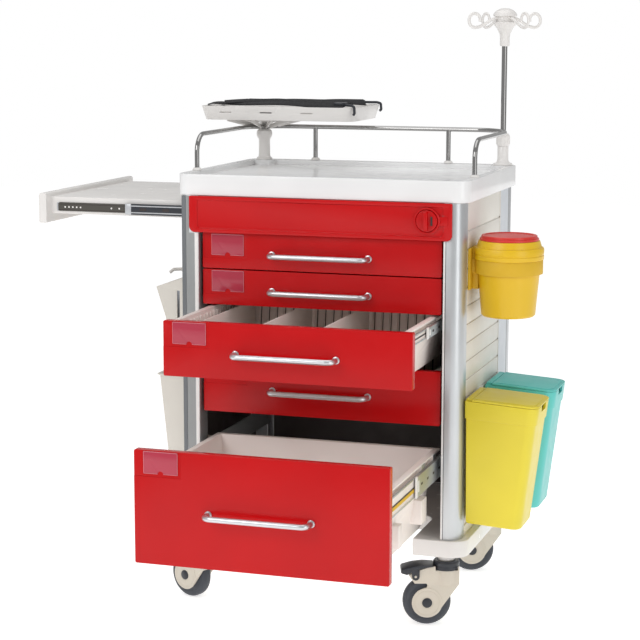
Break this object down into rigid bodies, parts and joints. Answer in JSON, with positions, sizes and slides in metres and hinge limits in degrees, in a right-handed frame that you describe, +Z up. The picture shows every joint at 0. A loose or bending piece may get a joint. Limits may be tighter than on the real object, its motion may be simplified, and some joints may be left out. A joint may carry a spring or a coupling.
{
  "type": "hospital crash cart",
  "caption": "Hospital crash cart with drawers, pull-out side shelf, railed worktop, swivelling monitor tray, drip pole, sharps bin, waste bins and swivel casters.",
  "frame": {"origin": "middle of the underside of the bounding box, at floor level under the wheels, with two drawers and the side shelf pulled out as in the rest pose", "axes": "+Z up, drawers open towards -Y, side shelf pulls out towards -X, bins and drip pole on the +X side"},
  "size_m": [1.0876, 0.9582, 1.2653],
  "materials": {
    "white_abs": "moulded ABS, light gloss",
    "cream_abs": "moulded ABS, satin",
    "red_abs": "moulded ABS, gloss",
    "anodised_aluminium": "satin anodised extrusion",
    "satin_aluminium": "satin",
    "zinc_steel": "zinc plated",
    "chrome_steel": "polished stainless tube",
    "black_webbing": "woven webbing",
    "yellow_plastic": "polypropylene, light gloss",
    "red_lid": "polypropylene, light gloss",
    "teal_plastic": "polypropylene, light gloss",
    "beige_nylon": "moulded nylon, satin",
    "grey_tyre": "dark polyurethane tread",
    "black_nylon": "moulded nylon"
  },
  "bodies": {
    "cart": {"worktop": "white_abs", "base_frame": "white_abs", "column_front_left": "anodised_aluminium", "column_front_right": "anodised_aluminium", "column_rear_left": "anodised_aluminium", "column_rear_right": "anodised_aluminium", "side_panel_right": "cream_abs", "side_panel_left": "cream_abs", "back_panel": "cream_abs", "top_fascia": "red_abs", "guard_rail": "chrome_steel", "iv_socket": "white_abs", "defib_post": "white_abs", "sharps_bracket": "yellow_plastic", "left_basket": "white_abs", "left_box": "white_abs"},
    "drawer_1": {"drawer_front_1": "red_abs", "drawer_tray_1": "cream_abs", "drawer_handle_1": "satin_aluminium"},
    "drawer_slide_1": {"drawer_slide_1": "zinc_steel"},
    "drawer_2": {"drawer_front_2": "red_abs", "drawer_tray_2": "cream_abs", "drawer_handle_2": "satin_aluminium"},
    "drawer_slide_2": {"drawer_slide_2": "zinc_steel"},
    "drawer_3": {"drawer_front_3": "red_abs", "drawer_tray_3": "cream_abs", "drawer_handle_3": "satin_aluminium"},
    "drawer_slide_3": {"drawer_slide_3": "zinc_steel"},
    "drawer_4": {"drawer_front_4": "red_abs", "drawer_tray_4": "cream_abs", "drawer_handle_4": "satin_aluminium"},
    "drawer_slide_4": {"drawer_slide_4": "zinc_steel"},
    "drawer_5": {"drawer_front_5": "red_abs", "drawer_tray_5": "cream_abs", "drawer_handle_5": "satin_aluminium"},
    "drawer_slide_5": {"drawer_slide_5": "zinc_steel"},
    "side_shelf": {"shelf_board": "white_abs"},
    "shelf_slide": {"shelf_slide": "zinc_steel"},
    "lock": {"lock_knob": "red_abs"},
    "defib_platform": {"defib_tray": "white_abs", "defib_straps": "black_webbing"},
    "iv_stand": {"iv_pole": "chrome_steel", "iv_hook_head": "white_abs"},
    "iv_nut": {"iv_collar_nut": "white_abs"},
    "sharps_container": {"sharps_bucket": "yellow_plastic"},
    "sharps_cap": {"sharps_lid": "red_lid"},
    "yellow_bin": {"yellow_bin": "yellow_plastic"},
    "yellow_bin_lid": {"yellow_bin_lid": "yellow_plastic"},
    "teal_bin": {"teal_bin": "teal_plastic"},
    "teal_bin_lid": {"teal_bin_lid": "teal_plastic"},
    "caster_front_left": {"caster_fork_front_left": "beige_nylon"},
    "wheel_front_left": {"caster_wheel_front_left": "grey_tyre"},
    "brake_front_left": {"brake_pedal_front_left": "black_nylon"},
    "caster_front_right": {"caster_fork_front_right": "beige_nylon"},
    "wheel_front_right": {"caster_wheel_front_right": "grey_tyre"},
    "brake_front_right": {"brake_pedal_front_right": "black_nylon"},
    "caster_rear_left": {"caster_fork_rear_left": "beige_nylon"},
    "wheel_rear_left": {"caster_wheel_rear_left": "grey_tyre"},
    "caster_rear_right": {"caster_fork_rear_right": "beige_nylon"},
    "wheel_rear_right": {"caster_wheel_rear_right": "grey_tyre"}
  },
  "joints": [
    {"name": "drawer_1_slide", "type": "slide", "parent": "cart", "child": "drawer_1", "axis": [0, -1, 0], "range_m": [0, 0.38]},
    {"name": "drawer_1_middle_slide", "type": "slide", "parent": "cart", "child": "drawer_slide_1", "axis": [0, -1, 0], "range_m": [0, 0.19]},
    {"name": "drawer_2_slide", "type": "slide", "parent": "cart", "child": "drawer_2", "axis": [0, -1, 0], "range_m": [0, 0.38]},
    {"name": "drawer_2_middle_slide", "type": "slide", "parent": "cart", "child": "drawer_slide_2", "axis": [0, -1, 0], "range_m": [0, 0.19]},
    {"name": "drawer_3_slide", "type": "slide", "parent": "cart", "child": "drawer_3", "axis": [0, -1, 0], "range_m": [-0.219, 0.161]},
    {"name": "drawer_3_middle_slide", "type": "slide", "parent": "cart", "child": "drawer_slide_3", "axis": [0, -1, 0], "range_m": [-0.1095, 0.0805]},
    {"name": "drawer_4_slide", "type": "slide", "parent": "cart", "child": "drawer_4", "axis": [0, -1, 0], "range_m": [0, 0.38]},
    {"name": "drawer_4_middle_slide", "type": "slide", "parent": "cart", "child": "drawer_slide_4", "axis": [0, -1, 0], "range_m": [0, 0.19]},
    {"name": "drawer_5_slide", "type": "slide", "parent": "cart", "child": "drawer_5", "axis": [0, -1, 0], "range_m": [-0.373, 0.007]},
    {"name": "drawer_5_middle_slide", "type": "slide", "parent": "cart", "child": "drawer_slide_5", "axis": [0, -1, 0], "range_m": [-0.1865, 0.0035]},
    {"name": "shelf_slide_out", "type": "slide", "parent": "cart", "child": "side_shelf", "axis": [-1, 0, 0], "range_m": [-0.31, 0]},
    {"name": "shelf_middle_slide", "type": "slide", "parent": "cart", "child": "shelf_slide", "axis": [-1, 0, 0], "range_m": [-0.155, 0]},
    {"name": "lock_turn", "type": "hinge", "parent": "cart", "child": "lock", "pos_m": [0.31717, -0.09191, 0.843], "axis": [0, -1, 0], "range_deg": [-90, 0]},
    {"name": "defib_swivel", "type": "hinge", "parent": "cart", "child": "defib_platform", "pos_m": [-0.18883, 0.37109, 1], "axis": [0, 0, 1], "continuous": true},
    {"name": "iv_pole_height", "type": "slide", "parent": "cart", "child": "iv_stand", "axis": [0, 0, 1], "range_m": [0, 0.2]},
    {"name": "iv_nut_turn", "type": "hinge", "parent": "cart", "child": "iv_nut", "pos_m": [0.37117, 0.36509, 0.97], "axis": [0, 0, 1], "continuous": true},
    {"name": "sharps_lift", "type": "slide", "parent": "cart", "child": "sharps_container", "axis": [0, 0, 1], "range_m": [0, 0.05]},
    {"name": "sharps_cap_hinge", "type": "hinge", "parent": "sharps_container", "child": "sharps_cap", "pos_m": [0.40517, 0.00709, 0.8003], "axis": [0, -1, 0], "range_deg": [0, 72]},
    {"name": "yellow_bin_lift", "type": "slide", "parent": "cart", "child": "yellow_bin", "axis": [0, 0, 1], "range_m": [0, 0.025]},
    {"name": "yellow_lid_hinge", "type": "hinge", "parent": "yellow_bin", "child": "yellow_bin_lid", "pos_m": [0.40813, 0.00709, 0.48001], "axis": [0, -1, 0], "range_deg": [0, 80]},
    {"name": "teal_bin_lift", "type": "slide", "parent": "cart", "child": "teal_bin", "axis": [0, 0, 1], "range_m": [0, 0.025]},
    {"name": "teal_lid_hinge", "type": "hinge", "parent": "teal_bin", "child": "teal_bin_lid", "pos_m": [0.40813, 0.19109, 0.48001], "axis": [0, -1, 0], "range_deg": [0, 80]},
    {"name": "caster_front_left_swivel", "type": "hinge", "parent": "cart", "child": "caster_front_left", "pos_m": [-0.18083, -0.04591, 0.14], "axis": [0, 0, 1], "continuous": true},
    {"name": "wheel_front_left_spin", "type": "hinge", "parent": "caster_front_left", "child": "wheel_front_left", "pos_m": [-0.21765, -0.03028, 0.05], "axis": [0.3907, 0.9205, 0], "continuous": true},
    {"name": "brake_front_left_pedal", "type": "hinge", "parent": "caster_front_left", "child": "brake_front_left", "pos_m": [-0.23975, -0.0209, 0.106], "axis": [-0.3907, -0.9205, 0], "range_deg": [0, 8]},
    {"name": "caster_front_right_swivel", "type": "hinge", "parent": "cart", "child": "caster_front_right", "pos_m": [0.35517, -0.04591, 0.14], "axis": [0, 0, 1], "continuous": true},
    {"name": "wheel_front_right_spin", "type": "hinge", "parent": "caster_front_right", "child": "wheel_front_right", "pos_m": [0.31712, -0.05827, 0.05], "axis": [-0.309, 0.9511, 0], "continuous": true},
    {"name": "brake_front_right_pedal", "type": "hinge", "parent": "caster_front_right", "child": "brake_front_right", "pos_m": [0.2943, -0.06569, 0.106], "axis": [0.309, -0.9511, 0], "range_deg": [0, 8]},
    {"name": "caster_rear_left_swivel", "type": "hinge", "parent": "cart", "child": "caster_rear_left", "pos_m": [-0.18083, 0.35909, 0.14], "axis": [0, 0, 1], "continuous": true},
    {"name": "wheel_rear_left_spin", "type": "hinge", "parent": "caster_rear_left", "child": "wheel_rear_left", "pos_m": [-0.21947, 0.36944, 0.05], "axis": [0.2588, 0.9659, 0], "continuous": true},
    {"name": "caster_rear_right_swivel", "type": "hinge", "parent": "cart", "child": "caster_rear_right", "pos_m": [0.35517, 0.35909, 0.14], "axis": [0, 0, 1], "continuous": true},
    {"name": "wheel_rear_right_spin", "type": "hinge", "parent": "caster_rear_right", "child": "wheel_rear_right", "pos_m": [0.31712, 0.34673, 0.05], "axis": [-0.309, 0.9511, 0], "continuous": true}
  ],
  "couplings": [
    {"joint": "drawer_1_middle_slide", "follows": "drawer_1_slide", "ratio": 0.5},
    {"joint": "drawer_2_middle_slide", "follows": "drawer_2_slide", "ratio": 0.5},
    {"joint": "drawer_3_middle_slide", "follows": "drawer_3_slide", "ratio": 0.5},
    {"joint": "drawer_4_middle_slide", "follows": "drawer_4_slide", "ratio": 0.5},
    {"joint": "drawer_5_middle_slide", "follows": "drawer_5_slide", "ratio": 0.5},
    {"joint": "shelf_middle_slide", "follows": "shelf_slide_out", "ratio": 0.5}
  ]
}
